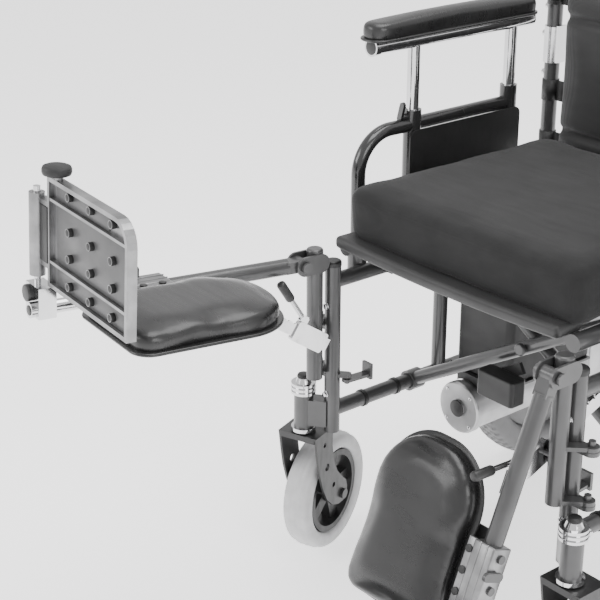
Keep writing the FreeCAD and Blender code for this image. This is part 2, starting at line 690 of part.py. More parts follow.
def footplate(side):
    """Cast footplate: rimmed tray with ribs and rubber studs, hinge barrel, web and toe knob."""
    wide, long, thick = size.footplate_wide, size.footplate_long, size.footplate_thick
    rim, floor = 6, 7
    reach = foot_reach(side)
    start = Vector(inboard(side, 12), -reach, 36)
    flip = 1 if side == RIGHT else -1
    tray_points = [(flip * x, y) for x, y in plate_outline(wide, long, size.footplate_round)]
    room_points = [
        (flip * (x + rim), y + rim)
        for x, y in plate_outline(wide - 2 * rim, long - 2 * rim, size.footplate_round - rim)
    ]
    tray = outline_body(tray_points, "footplate_thick")[0]
    room = outline_body(room_points, thick)[0]
    tray.Placement = Placement(start + Vector(0, thick, 0), Rotation(ACROSS, 90))
    room.Placement = Placement(start + Vector(0, thick - floor, 0), Rotation(ACROSS, 90))
    ribs = [
        block(start + Vector(inboard(side, wide / 2), 4, level), wide - 6, 7, 4) for level in (36, long - 30)
    ]
    studs = []
    for across in (62, 122, 182):
        for level in (18, 56, 92, long - 13):
            foot = start + Vector(inboard(side, across), thick - floor + 1, level)
            studs.append(rod(foot, foot - Vector(0, 9, 0), 11))
    hinge = Vector(inboard(side, -20), -reach, 0)
    barrel = rod(hinge + UP * 42, hinge + UP * 158, 22)
    web = block(start + Vector(inboard(side, -12), 6, 70), 34, 12, 92)
    knob_x = inboard(side, 36)
    top = start.z + long
    stalk = rod(Vector(knob_x, start.y + 6, top - 6), Vector(knob_x, start.y + 6, top + 8), 11)
    knob_foot = Vector(knob_x, start.y + 3, top + 7)
    knob = rounded(rod(knob_foot, knob_foot + UP * 12, 38), 5, is_circle)
    bore = rod(hinge + UP * 20, hinge + UP * 180, 10.9)
    return cut(fuse([cut(tray, [room])] + ribs + studs + [barrel, web, stalk, knob]), [bore])


def calf_pad(side):
    """Upholstered calf pad on its bracket."""
    pad = pad_body("calf_wide", "calf_long", "calf_thick", 44, 12)
    pad.Placement = Placement(Vector(inboard(side, 122.5), -257.5, -12), NO_TURN)
    return pad


def ratchet_box(side):
    """Ratchet box with a slot for the strut bar and a blind bore for its pivot."""
    x = inboard(side, size.strut_inset - 0.5)
    box = rounded(block(Vector(x, -21, 0), 10, 62, 32), 4, lambda edge: edge.BoundBox.XLength > 8)
    bar = block(Vector(inboard(side, size.strut_inset), -20, 0), 3.6, 100, 20.8)
    bore = rod(Vector(inboard(side, 14), 0, 0), Vector(inboard(side, 17.8), 0, 0), 8.8)
    ears = block(Vector(inboard(side, size.strut_inset), -42, 19), 3, 11, 10)
    return cut(fuse([box, ears]), [bar, bore, rod(Vector(-40, -42, 19), Vector(40, -42, 19), 4.9)])


def strut_bar(side):
    """Toothed flat bar that slides through the ratchet box."""
    reach = 204.0
    x = inboard(side, size.strut_inset)
    bar = block(Vector(x, -reach + size.strut_long / 2 - 6, 0), "strut_thick", size.strut_long, "strut_high")
    notches = []
    for step in range(12):
        y = -reach + 40 + step * 13
        notches.append(rod(Vector(x - 4, y, 11), Vector(x + 4, y, 11), 7))
    head = rod(Vector(x - side * 1, -reach, 0), Vector(x - side * 4.5, -reach, 0), 11)
    return cut(fuse([bar, head]), notches)


def release_lever(side):
    """Release lever of the ratchet, with a sleeve grip."""
    x = inboard(side, size.strut_inset)
    fork = [block(Vector(x + off, -46.5, 21.5), 1.6, 13, 9.6) for off in (-2.9, 2.9)]
    hinge = rod(Vector(x - 3.7, -42, 19), Vector(x + 3.7, -42, 19), 4)
    turn = Rotation(ACROSS, -24.2)
    along = turn.multVec(Vector(0, -1, 0))
    foot = Vector(x, -42, 19) + along * 10
    neck = rod(foot, foot + along * 40, 8)
    grip = rounded(rod(foot + along * 38, foot + along * 72, 12.5), 3, is_circle)
    return fuse(fork + [hinge, neck, grip])


# ---------------------------------------------------------------------------
# Armrests
# ---------------------------------------------------------------------------
def arm_frame(side):
    """Bent side tube with the two post sockets and the thumb clamp of the front one."""
    x = side * size.arm_half
    tube = bent_tube(
        [
            Vector(x, size.arm_front, 511),
            Vector(x, size.arm_front, size.arm_level),
            Vector(x, size.post_rear, size.arm_level),
        ],
        size.arm_bend,
        "arm_tube",
    )
    front = rod(Vector(x, size.post_front, size.socket_foot), Vector(x, size.post_front, 735), "socket_dia")
    rear = rod(Vector(x, size.post_rear, 530), Vector(x, size.post_rear, 740), "socket_dia")
    spigot = rod(Vector(x, size.post_rear, 511), Vector(x, size.post_rear, 531), "arm_tube")
    clamp = rod(Vector(x, size.post_front - 10, 724), Vector(x, size.post_front - 26, 724), 12)
    wing_foot = Vector(x, size.post_front - 26, 724)
    thumb = link(wing_foot, wing_foot + Vector(-side * 6, 0, 22), 9, 5, Vector(0, 1, 0))
    bores = [
        rod(Vector(x, y, 541), Vector(x, y, 745), "socket_bore") for y in (size.post_front, size.post_rear)
    ]
    return cut(fuse([tube, front, rear, spigot, clamp, thumb]), bores)


def side_panel(side):
    """Thin skirt guard between the sockets."""
    return rounded(
        block(Vector(side * 246.8, 275.5, 625), 2.2, 243, 160), 12,
        lambda edge: edge.BoundBox.XLength > 2 and edge.Length < 3,
    )


def arm_posts(side):
    """Two chrome posts under the tube that carries the arm pad."""
    x = side * size.arm_half
    level = size.arm_pad_level
    posts = [rod(Vector(x, y, 622), Vector(x, y, level), "slide_dia") for y in (size.post_front, size.post_rear)]
    tube = rod(Vector(x, 93, level), Vector(x, 427, level), "tube_dia")
    cap = rod(Vector(x, 84, level), Vector(x, 94, level), 28)
    return fuse(posts + [tube, cap])


def arm_pad(side):
    """Upholstered arm pad seated on its tube."""
    x = side * size.arm_half
    pad = pad_body("arm_pad_wide", "arm_pad_long", "arm_pad_thick", 24, 7)
    pad.Placement = Placement(Vector(x, 251, 847), NO_TURN)
    level = size.arm_pad_level
    return cut(pad, [rod(Vector(x, 40, level), Vector(x, 440, level), 28)])


# ---------------------------------------------------------------------------
# Seat, back and controller
# ---------------------------------------------------------------------------
def seat_sling():
    """Sling between the seat rails, turned down at its front edge."""
    deck = pad_body(422, 430, 5, 8, 0)
    deck.Placement = Placement(Vector(0, 233, 563), NO_TURN)
    front = rounded(block(Vector(0, 8, 573), 440, 58, 22), 7, lambda edge: edge.Length > 100)
    rail_room = [
        rod(Vector(x, -40, size.seat_rail), Vector(x, 60, size.seat_rail), 27)
        for x in (-size.seat_half, size.seat_half)
    ]
    return cut(fuse([deck, front]), rail_room)


def seat_cushion():
    """Foam cushion lying on the sling."""
    cushion = pad_body("cushion_wide", "cushion_long", "cushion_thick", 30, 12)
    cushion.Placement = Placement(Vector(0, 212.5, 0), NO_TURN)
    return cushion


def back_rest():
    """Padded back upholstery between the canes."""
    back = pad_body("back_wide", "back_thick", "back_tall", 10, 6)
    back.Placement = Placement(Vector(0, 463, 605), NO_TURN)
    return back


def joystick_box():
    """Controller pod outboard of the left armrest, on a bracket from the arm tube."""
    x, y = size.pod_half, 12
    pod = pad_body(54, 88, 34, 14, 6)
    pod.Placement = Placement(Vector(x, y, 836), NO_TURN)
    well = rod(Vector(x, y, 854), Vector(x, y, 871), 36)
    bracket = block(Vector(x - 29.6, 46, 841), 46, 20, 9)
    clamp = block(Vector(size.arm_half, 60, 841), 14, 48, 9)
    return fuse([cut(pod, [well]), bracket, clamp])


def joystick_knob():
    """Joystick with its bellows foot."""
    foot = cone(Vector(0, 0, -1), Vector(0, 0, 12), 28, 11)
    stem = rod(Vector(0, 0, 10), Vector(0, 0, 34), 8)
    ball = rounded(rod(Vector(0, 0, 30), Vector(0, 0, 48), 22), 8, is_circle)
    trunnion = rod(Vector(-16, 0, 0), Vector(16, 0, 0), 4)
    return fuse([foot, stem, ball, trunnion])


# ---------------------------------------------------------------------------
# Places of the moving groups, then every node
# ---------------------------------------------------------------------------
def swing_place(side):
    """Turn of a legrest about its swing pins."""
    angle = size.right_swing if side == RIGHT else 0.0
    pin = Vector(side * size.swing_half, 0, 0)
    return Placement(pin, Rotation(UP, angle)).multiply(Placement(pin * -1, NO_TURN))


def leg_place(side):
    """Place of the leg pieces: knee pivot, raised or lowered, within the swung legrest."""
    raised = size.right_raise if side == RIGHT else size.left_raise
    knee = Vector(side * size.frame_half, size.knee_lead, size.knee_height)
    return swing_place(side).multiply(Placement(knee, Rotation(ACROSS, -raised)))


def strut_place(side):
    raised = size.right_strut if side == RIGHT else size.left_strut
    pivot = Vector(side * size.frame_half, size.strut_lead, size.strut_height)
    return swing_place(side).multiply(Placement(pivot, Rotation(ACROSS, -raised)))


def strut_slide_place(side):
    """The bar is laid out for the raised leg; on the lowered leg it has slid back through its box."""
    slid = 0.0 if side == RIGHT else 204.0 - 62.9
    return strut_place(side).multiply(Placement(Vector(0, slid, 0), NO_TURN))


def caster_place(side, at_axle):
    angle = size.caster_turn if side == RIGHT else 0.0
    foot = Placement(Vector(side * size.caster_half, size.caster_lead, 0), Rotation(UP, angle))
    axle = Vector(0, size.caster_trail, size.caster_dia / 2)
    return foot.multiply(Placement(axle, NO_TURN)) if at_axle else foot


def drive_place(side):
    return Placement(Vector(side * size.drive_half, size.drive_back, size.drive_dia / 2), NO_TURN)


for side, name in SIDES:
    node(f"{name}_side_frame", side_frame(side))
    node(f"{name}_frame_fittings", frame_fittings(side))
    node(f"{name}_chrome_fittings", chrome_fittings(side))
    node(f"{name}_push_grip", push_grip(side))
    node(f"{name}_tipper_socket", tipper_socket(side))
    node(f"{name}_swing_latch", swing_latch(side))
    node(f"{name}_motor", motor(side))
    node(f"{name}_brake_cover", brake_cover(side))
    node(f"{name}_battery_box", battery_box(side))
    node(f"{name}_drive_tyre", tyre("drive_dia", "drive_width", "drive_rim", 22), drive_place(side))
    node(f"{name}_drive_rim", drive_rim(side), drive_place(side))
    node(f"{name}_caster_fork", caster_fork(), caster_place(side, False))
    node(f"{name}_caster_tyre", tyre("caster_dia", "caster_width", "caster_rim", 19), caster_place(side, True))
    node(f"{name}_caster_hub", caster_hub(), caster_place(side, True))
    node(f"{name}_hanger", hanger(side), swing_place(side))
    node(f"{name}_leg_tube", leg_tube(side), leg_place(side))
    node(f"{name}_leg_extension", leg_extension(side), leg_place(side))
    node(f"{name}_footplate", footplate(side), leg_place(side))
    node(f"{name}_calf_pad", calf_pad(side), leg_place(side))
    node(f"{name}_ratchet_box", ratchet_box(side), strut_place(side))
    node(f"{name}_strut_bar", strut_bar(side), strut_slide_place(side))
    node(f"{name}_release_lever", release_lever(side), strut_place(side))
    node(f"{name}_arm_frame", arm_frame(side))
    node(f"{name}_side_panel", side_panel(side))
    node(f"{name}_arm_posts", arm_posts(side))
    node(f"{name}_arm_pad", arm_pad(side))

node("brace_front_arm", brace_front_arm())
node("brace_rear_arm", brace_arm(LEFT, size.brace_rear))
node("power_module", power_module())
node("seat_sling", seat_sling())
node("seat_cushion", seat_cushion(), Placement(Vector(0, 0, 584), NO_TURN))
node("back_rest", back_rest())
node("joystick_box", joystick_box())
node("joystick_knob", joystick_knob(), Placement(Vector(size.pod_half, 12, 862), NO_TURN))

doc.recompute()

# ---------------------------------------------------------------------------
# Check and write
# ---------------------------------------------------------------------------
for part in doc.Objects:
    if "Invalid" in part.State or "Error" in part.State:
        raise RuntimeError(f"{part.Label} failed to recompute: {part.State}")
for part in nodes:
    if part.Shape.isNull() or not part.Shape.isValid():
        raise RuntimeError(f"{part.Label} has no valid shape")

whole = FreeCAD.BoundBox()
for part in nodes:
    whole.add(part.Shape.BoundBox)
print(f"{len(nodes)} sub-parts, X {whole.XMin:.1f} to {whole.XMax:.1f}")
print(f"Y {whole.YMin:.1f} to {whole.YMax:.1f}, Z {whole.ZMin:.2f} to {whole.ZMax:.1f}")

os.makedirs("parts", exist_ok=True)
for part in nodes:
    part.Shape.exportStep(f"parts/{part.Label}.step")
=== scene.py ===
# %% [markdown]
# # A powered folding wheelchair
# The metal, the wheels and everything that moves are already modelled in CAD. This notebook loads
# them as a fixed frame and adds what CAD leaves plain: upholstery that is really stuffed, tyres with
# tread, rubber grips, small trim, and a finish for every surface. A chair like this is read mostly
# by its materials, so they come before the soft pieces.

# %% Load the frame
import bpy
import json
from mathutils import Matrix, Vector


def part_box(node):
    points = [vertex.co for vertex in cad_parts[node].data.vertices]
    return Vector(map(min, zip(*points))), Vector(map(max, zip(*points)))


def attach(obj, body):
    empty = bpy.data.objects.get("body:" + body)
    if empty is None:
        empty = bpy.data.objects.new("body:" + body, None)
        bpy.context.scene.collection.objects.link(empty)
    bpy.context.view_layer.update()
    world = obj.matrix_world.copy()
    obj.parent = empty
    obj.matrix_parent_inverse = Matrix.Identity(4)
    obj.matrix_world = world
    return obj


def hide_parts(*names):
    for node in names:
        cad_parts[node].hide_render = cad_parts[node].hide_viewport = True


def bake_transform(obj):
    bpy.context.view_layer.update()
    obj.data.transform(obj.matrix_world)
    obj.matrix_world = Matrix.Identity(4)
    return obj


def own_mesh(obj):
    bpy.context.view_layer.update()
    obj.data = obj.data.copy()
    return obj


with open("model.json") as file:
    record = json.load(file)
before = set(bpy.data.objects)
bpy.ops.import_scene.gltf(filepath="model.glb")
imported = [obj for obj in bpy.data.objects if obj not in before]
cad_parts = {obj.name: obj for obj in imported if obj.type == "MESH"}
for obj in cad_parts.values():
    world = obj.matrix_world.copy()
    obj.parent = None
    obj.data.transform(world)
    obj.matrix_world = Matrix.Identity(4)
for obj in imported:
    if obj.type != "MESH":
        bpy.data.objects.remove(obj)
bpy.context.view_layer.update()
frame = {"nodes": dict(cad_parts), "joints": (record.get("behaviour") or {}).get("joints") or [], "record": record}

import json
import math

import numpy

import bmesh
import bpy
from mathutils import Matrix, Vector

MM = 0.001
SIDES = (("right", 1.0), ("left", -1.0))
nodes = frame["nodes"]
joints = {joint["name"]: joint for joint in frame["joints"]}

# %% [markdown]
# The camera stands in front of the chair, to the rider's left, a little above the armrests, and
# looks at the rider's right legrest with a moderate telephoto. Its aim is given by two angles, as a
# tripod head has them: how far round, and how far down. The middle of the chair's floor is the
# origin, so the tripod's place is measured from there.

# %% Camera
TRIPOD = Vector((1.3742, -1.4918, 1.3458))
ROUND = math.radians(50.963)
DOWN = math.radians(22.594)


def set_camera(place, turn, tilt, lens):
    data = bpy.data.cameras.new("studio_camera")
    data.lens = lens
    data.sensor_width = 36.0
    data.clip_end = 50.0
    camera = bpy.data.objects.new("studio_camera", data)
    camera.location = place
    camera.rotation_euler = (math.pi / 2 - tilt, 0.0, turn)
    bpy.context.scene.collection.objects.link(camera)
    bpy.context.scene.camera = camera
    return camera


camera = set_camera(TRIPOD, ROUND, DOWN, 89.51)
print("camera height", round(camera.location.z, 3), "m")

# %% [markdown]
# A studio for dark upholstery needs large soft lights: chrome shows whatever it reflects, and black
# vinyl only shows its shape by a broad highlight. Three area lamps do that, over a pale world. The
# floor is a wide plane of the same pale tone, so that it runs out without an edge.

# %% Studio light and floor


def area_lamp(name, place, aim, width, watts):
    data = bpy.data.lights.new(name, "AREA")
    data.shape = "RECTANGLE"
    data.size = width
    data.size_y = width * 0.7
    data.energy = watts
    lamp = bpy.data.objects.new(name, data)
    lamp.location = place
    lamp.rotation_euler = (Vector(aim) - Vector(place)).to_track_quat("-Z", "Y").to_euler()
    bpy.context.scene.collection.objects.link(lamp)
    return lamp


area_lamp("overhead_bank", (0.2, 0.2, 3.0), (0, 0, 0.4), 2.6, 70)
area_lamp("front_bank", (-1.4, -2.6, 1.9), (0, 0, 0.4), 1.8, 38)
area_lamp("side_bank", (2.8, -0.4, 1.7), (0, 0, 0.4), 1.6, 26)

world = bpy.data.worlds.new("pale_studio")
world.use_nodes = True
world.node_tree.nodes["Background"].inputs["Color"].default_value = (0.86, 0.855, 0.86, 1)
world.node_tree.nodes["Background"].inputs["Strength"].default_value = 1.30
bpy.context.scene.world = world


def studio_floor(reach):
    shape = bmesh.new()
    bmesh.ops.create_grid(shape, x_segments=1, y_segments=1, size=reach)
    mesh = bpy.data.meshes.new("studio_floor")
    shape.to_mesh(mesh)
    shape.free()
    floor = bpy.data.objects.new("studio_floor", mesh)
    bpy.context.scene.collection.objects.link(floor)
    paper = bpy.data.materials.new("floor_paper")
    paper.use_nodes = True
    shader = paper.node_tree.nodes["Principled BSDF"]
    shader.inputs["Base Color"].default_value = (0.90, 0.895, 0.90, 1)
    shader.inputs["Roughness"].default_value = 0.9
    shader.inputs["Emission Color"].default_value = (1, 1, 1, 1)
    shader.inputs["Emission Strength"].default_value = 1.1
    mesh.materials.append(paper)
    return floor


studio_floor(14.0)

# %% [markdown]
# ## Shared effects
# Four effects turn up on many finishes, so each is a node group made once: a slow **mottle** between
# two tones, a **fine grain** of bumps, a **knit** of crossing threads, and **scuffs** that change how
# rough a surface is. A group puts out only colours, masks and heights. The shader stays in the
# material, where its gloss and metal are set for that one finish.

# %% Node group helpers


def new_group(name, inputs, outputs):
    """An empty shader group with its sockets, given as (name, socket type, default)."""
    group = bpy.data.node_groups.new(name, "ShaderNodeTree")
    for label, kind, default in inputs:
        socket = group.interface.new_socket(label, in_out="INPUT", socket_type=kind)
        socket.default_value = default
    for label, kind in outputs:
        group.interface.new_socket(label, in_out="OUTPUT", socket_type=kind)
    start = group.nodes.new("NodeGroupInput")
    end = group.nodes.new("NodeGroupOutput")
    return group, start, end


def maths(tree, operation, first, second=None):
    node = tree.nodes.new("ShaderNodeMath")
    node.operation = operation
    for socket, value in zip(node.inputs, (first, second)):
        if value is None:
            continue
        if isinstance(value, (int, float)):
            socket.default_value = value
        else:
            tree.links.new(value, socket)
    return node.outputs[0]


def noise(tree, scale, detail, vector=None):
    node = tree.nodes.new("ShaderNodeTexNoise")
    node.inputs["Detail"].default_value = detail
    if isinstance(scale, (int, float)):
        node.inputs["Scale"].default_value = scale
    else:
        tree.links.new(scale, node.inputs["Scale"])
    if vector is None:
        vector = tree.nodes.new("ShaderNodeTexCoord").outputs["Object"]
    tree.links.new(vector, node.inputs["Vector"])
    return node.outputs["Fac"]


# %% Mottle: a slow drift between two tones


def mottle_group():
    group, start, end = new_group(
        "mottle",
        [
            ("Tone", "NodeSocketColor", (0.1, 0.1, 0.1, 1)),
            ("Other Tone", "NodeSocketColor", (0.2, 0.2, 0.2, 1)),
            ("Scale", "NodeSocketFloat", 20.0),
        ],
        [("Color", "NodeSocketColor"), ("Mask", "NodeSocketFloat")],
    )
    slow = noise(group, start.outputs["Scale"], 5.0)
    ramp = group.nodes.new("ShaderNodeMapRange")
    ramp.inputs["From Min"].default_value = 0.35
    ramp.inputs["From Max"].default_value = 0.68
    group.links.new(slow, ramp.inputs["Value"])
    mix = group.nodes.new("ShaderNodeMix")
    mix.data_type = "RGBA"
    group.links.new(ramp.outputs[0], mix.inputs["Factor"])
    group.links.new(start.outputs["Tone"], mix.inputs["A"])
    group.links.new(start.outputs["Other Tone"], mix.inputs["B"])
    group.links.new(mix.outputs["Result"], end.inputs["Color"])
    group.links.new(ramp.outputs[0], end.inputs["Mask"])
    return group


mottle = mottle_group()

# %% Fine grain: pebbles for vinyl, orange peel for enamel, sand for castings


def grain_group():
    group, start, end = new_group(
        "fine_grain", [("Scale", "NodeSocketFloat", 900.0), ("Pebble", "NodeSocketFloat", 0.5)],
        [("Height", "NodeSocketFloat")],
    )
    peel = noise(group, start.outputs["Scale"], 3.0)
    cells = group.nodes.new("ShaderNodeTexVoronoi")
    cells.feature = "SMOOTH_F1"
    group.links.new(group.nodes.new("ShaderNodeTexCoord").outputs["Object"], cells.inputs["Vector"])
    group.links.new(start.outputs["Scale"], cells.inputs["Scale"])
    pebble = maths(group, "MULTIPLY", cells.outputs["Distance"], start.outputs["Pebble"])
    rest = maths(group, "MULTIPLY", peel, maths(group, "SUBTRACT", 1.0, start.outputs["Pebble"]))
    group.links.new(maths(group, "ADD", pebble, rest), end.inputs["Height"])
    return group


grain = grain_group()

# %% Knit: threads that cross in all three planes, so it needs no unwrapping


def knit_group():
    group, start, end = new_group(
        "knit",
        [("Threads", "NodeSocketFloat", 900.0)],
        [("Height", "NodeSocketFloat"), ("Gap", "NodeSocketFloat")],
    )
    place = group.nodes.new("ShaderNodeTexCoord").outputs["Object"]
    parts = group.nodes.new("ShaderNodeSeparateXYZ")
    group.links.new(place, parts.inputs[0])
    ribs = []
    for axis in "XYZ":
        phase = maths(group, "MULTIPLY", parts.outputs[axis], start.outputs["Threads"])
        ribs.append(maths(group, "ABSOLUTE", maths(group, "SINE", phase)))
    first = maths(group, "MAXIMUM", ribs[0], ribs[1])
    height = maths(group, "MULTIPLY", first, maths(group, "MAXIMUM", ribs[1], ribs[2]))
    group.links.new(height, end.inputs["Height"])
    group.links.new(maths(group, "LESS_THAN", height, 0.25), end.inputs["Gap"])
    return group


knit = knit_group()

# %% Scuffs: long faint rub marks that only change the gloss


def scuff_group():
    group, start, end = new_group(
        "scuffs",
        [("Smooth", "NodeSocketFloat", 0.3), ("Rubbed", "NodeSocketFloat", 0.5)],
        [("Roughness", "NodeSocketFloat")],
    )
    stretch = group.nodes.new("ShaderNodeMapping")
    stretch.inputs["Scale"].default_value = (9.0, 60.0, 22.0)
    stretch.inputs["Rotation"].default_value = (0.4, 0.2, 0.7)
    group.links.new(group.nodes.new("ShaderNodeTexCoord").outputs["Object"], stretch.inputs["Vector"])
    streak = noise(group, 1.6, 6.0, stretch.outputs[0])
    ramp = group.nodes.new("ShaderNodeMapRange")
    ramp.inputs["From Min"].default_value = 0.42
    ramp.inputs["From Max"].default_value = 0.75
    group.links.new(streak, ramp.inputs["Value"])
    group.links.new(start.outputs["Smooth"], ramp.inputs["To Min"])
    group.links.new(start.outputs["Rubbed"], ramp.inputs["To Max"])
    group.links.new(ramp.outputs[0], end.inputs["Roughness"])
    return group


scuffs = scuff_group()
print("effects:", [group.name for group in bpy.data.node_groups])

# %% [markdown]
# ## Finishes
# Every finish is built by one function: a mottled colour, a roughness that carries scuffs, and a
# bump from grain or knit. What differs is written down in a line per finish, the way a paint shop
# keeps its cards. Gloss, metal, lacquer and sheen are the same all over a surface, so they are set
# on the shader's own sockets.

# %% The finish function


def place_group(tree, group, **values):
    node = tree.nodes.new("ShaderNodeGroup")
    node.node_tree = group
    for label, value in values.items():
        node.inputs[label.replace("_", " ")].default_value = value
    return node


def grey(value):
    return (value, value, value * 1.01, 1.0)


def finish(name, tone, other, smooth, rubbed, metal=0.0, coat=0.0, sheen=0.0, grain_scale=0.0, pebble=0.5,
           threads=0.0, depth=0.0, patch=18.0, gloss=0.5):
    material = bpy.data.materials.new(name)
    material.use_nodes = True
    tree = material.node_tree
    shader = tree.nodes["Principled BSDF"]
    colour = place_group(tree, mottle, Tone=grey(tone), Other_Tone=grey(other), Scale=patch)
    tree.links.new(colour.outputs["Color"], shader.inputs["Base Color"])
    rub = place_group(tree, scuffs, Smooth=smooth, Rubbed=rubbed)
    tree.links.new(rub.outputs["Roughness"], shader.inputs["Roughness"])
    shader.inputs["Metallic"].default_value = metal
    shader.inputs["Specular IOR Level"].default_value = gloss
    shader.inputs["Coat Weight"].default_value = coat
    shader.inputs["Coat Roughness"].default_value = 0.12
    shader.inputs["Sheen Weight"].default_value = sheen
    shader.inputs["Sheen Roughness"].default_value = 0.45
    if depth > 0.0:
        relief = place_group(tree, knit, Threads=threads) if threads else place_group(
            tree, grain, Scale=grain_scale, Pebble=pebble)
        bump = tree.nodes.new("ShaderNodeBump")
        bump.inputs["Strength"].default_value = 1.0
        bump.inputs["Distance"].default_value = depth
        tree.links.new(relief.outputs["Height"], bump.inputs["Height"])
        tree.links.new(bump.outputs["Normal"], shader.inputs["Normal"])
    return material


# %% The finish cards
FINISHES = {
    "frame_paint": finish(
        "frame_paint", 0.060, 0.076, 0.30, 0.46, metal=0.35, coat=0.35, grain_scale=700, pebble=0.1,
        depth=0.00006
    ),
    "black_paint": finish(
        "black_paint", 0.012, 0.018, 0.16, 0.32, coat=0.6, grain_scale=600, pebble=0.1, depth=0.00004
    ),
    "fork_paint": finish(
        "fork_paint", 0.014, 0.024, 0.34, 0.52, coat=0.15, grain_scale=1500, pebble=0.3, depth=0.00006
    ),
    "rim_paint": finish(
        "rim_paint", 0.16, 0.20, 0.35, 0.5, metal=0.3, grain_scale=900, pebble=0.2, depth=0.00006
    ),
    "chrome": finish(
        "chrome", 0.62, 0.70, 0.07, 0.22, metal=1.0, grain_scale=260, pebble=0.0, depth=0.00001
    ),
    "cast_alloy": finish(
        "cast_alloy", 0.21, 0.33, 0.28, 0.45, metal=0.9, grain_scale=1100, pebble=0.35, depth=0.00011,
        patch=30
    ),
    "motor_alloy": finish(
        "motor_alloy", 0.40, 0.52, 0.28, 0.44, metal=0.85, grain_scale=1300, pebble=0.3, depth=0.00008
    ),
    "black_plastic": finish(
        "black_plastic", 0.010, 0.018, 0.38, 0.52, grain_scale=1700, pebble=0.6, depth=0.00007
    ),
    "battery_plastic": finish(
        "battery_plastic", 0.016, 0.024, 0.48, 0.6, grain_scale=1200, pebble=0.8, depth=0.00012
    ),
    "panel_plastic": finish(
        "panel_plastic", 0.010, 0.015, 0.42, 0.55, grain_scale=1400, pebble=0.7, depth=0.0001
    ),
    "grip_rubber": finish(
        "grip_rubber", 0.012, 0.02, 0.55, 0.7, grain_scale=1500, pebble=0.5, depth=0.0001
    ),
    "drive_rubber": finish(
        "drive_rubber", 0.16, 0.20, 0.62, 0.75, grain_scale=1000, pebble=0.4, depth=0.00014
    ),
    "caster_rubber": finish(
        "caster_rubber", 0.44, 0.54, 0.55, 0.7, grain_scale=900, pebble=0.3, depth=0.00012, patch=40
    ),
    "black_vinyl": finish(
        "black_vinyl", 0.010, 0.016, 0.27, 0.38, coat=0.12, grain_scale=1050, pebble=0.85,
        depth=0.00010
    ),
    "seat_fabric": finish(
        "seat_fabric", 0.010, 0.015, 0.80, 0.90, sheen=0.10, gloss=0.28, threads=2600, depth=0.00016
    ),
    "back_fabric": finish(
        "back_fabric", 0.008, 0.013, 0.6, 0.72, sheen=0.2, threads=2100, depth=0.00016
    ),
    "tread_sheet": finish(
        "tread_sheet", 0.075, 0.10, 0.34, 0.5, metal=0.2, grain_scale=1000, pebble=0.4, depth=0.00008
    ),
    "sling_nylon": finish(
        "sling_nylon", 0.010, 0.016, 0.42, 0.55, sheen=0.1, threads=1700, depth=0.00012
    ),
}
print("finishes:", len(FINISHES))

# %% Dress every CAD piece by its slot in the record


def dress(piece, slot_name):
    piece.data.materials.clear()
    piece.data.materials.append(FINISHES[slot_name])


slot_of = {entry["node"]: entry["material_slot"] for entry in frame["record"]["subparts"]}
for name, piece in nodes.items():
    dress(piece, slot_of[name])
print("dressed", len(nodes), "CAD pieces")

# %% [markdown]
# ## Shaping helpers
# Each new piece is shaped in a bmesh near the origin, in metres, and then moved to its place by one
# matrix, so that its object stays at the origin. A frame for a leg or a wheel is read from the
# joints: a hinge gives a place and an axis, and a slide gives a direction.

# %% Turn a bmesh into a piece


def make_piece(name, shape, slot_name, body=None, place=Matrix.Identity(4), replaced=()):
    bmesh.ops.transform(shape, matrix=place, verts=shape.verts)
    bmesh.ops.recalc_face_normals(shape, faces=shape.faces)
    for face in shape.faces:
        face.smooth = True
    mesh = bpy.data.meshes.new(name)
    shape.to_mesh(mesh)
    shape.free()
    piece = bpy.data.objects.new(name, mesh)
    bpy.context.scene.collection.objects.link(piece)
    dress(piece, slot_name)
    if body:
        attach(piece, body)
    if replaced:
        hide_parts(*replaced)
    return piece


def frame_matrix(origin, x_axis, y_axis, z_axis):
    turn = Matrix((x_axis, y_axis, z_axis)).transposed().to_4x4()
    return Matrix.Translation(origin) @ turn


def leg_matrix(side):
    """Knee pivot, with -Y along the leg and +Z towards the toes."""
    down_leg = Vector(joints[f"{side}_leg_length"]["axis"])
    toes = Vector(joints[f"{side}_footplate_fold"]["axis"]) * (1 if side == "right" else -1)
    return frame_matrix(Vector(joints[f"{side}_knee"]["pos_m"]), (-down_leg).cross(toes), -down_leg, toes)


def wheel_matrix(joint_name):
    """Wheel centre, with X along its axle."""
    axle = Vector(joints[joint_name]["axis"])
    up = Vector((0, 0, 1))
    return frame_matrix(Vector(joints[joint_name]["pos_m"]), axle, up.cross(axle), up)


def soft_edges(shape, radius, segments, picks):
    """Round the edges that picks accepts."""
    chosen = [edge for edge in shape.edges if picks(edge)]
    bmesh.ops.bevel(
        shape, geom=chosen, offset=radius, segments=segments, profile=0.5, affect="EDGES", material=-1
    )


def slab(wide, long, thick, back_radius, front_radius, edge, round_steps=8):
    """Upholsterer's board: an outline with two corner radii, given a thickness and a soft rim."""
    shape = bmesh.new()
    bmesh.ops.create_grid(shape, x_segments=1, y_segments=1, size=0.5)
    bmesh.ops.scale(shape, vec=(wide, long, 1), verts=shape.verts)
    for radius, sign, steps in ((back_radius, 1, round_steps), (front_radius, -1, round_steps)):
        corners = [v for v in shape.verts if v.co.y * sign > long / 2 - 1e-6]
        bmesh.ops.bevel(
            shape, geom=corners, offset=radius, segments=steps, profile=0.5, affect="VERTICES", material=-1
        )
    bmesh.ops.solidify(shape, geom=shape.faces[:], thickness=thick)
    low = min(v.co.z for v in shape.verts)
    bmesh.ops.translate(shape, vec=(0, 0, -low - thick / 2), verts=shape.verts)
    bmesh.ops.recalc_face_normals(shape, faces=shape.faces)
    if edge:
        flat = thick * 0.4

        def on_rim(line):
            first, second = line.verts[0].co.z, line.verts[1].co.z
            return abs(first - second) < 1e-6 and abs(first) > flat

        soft_edges(shape, edge, 3, on_rim)
    return shape


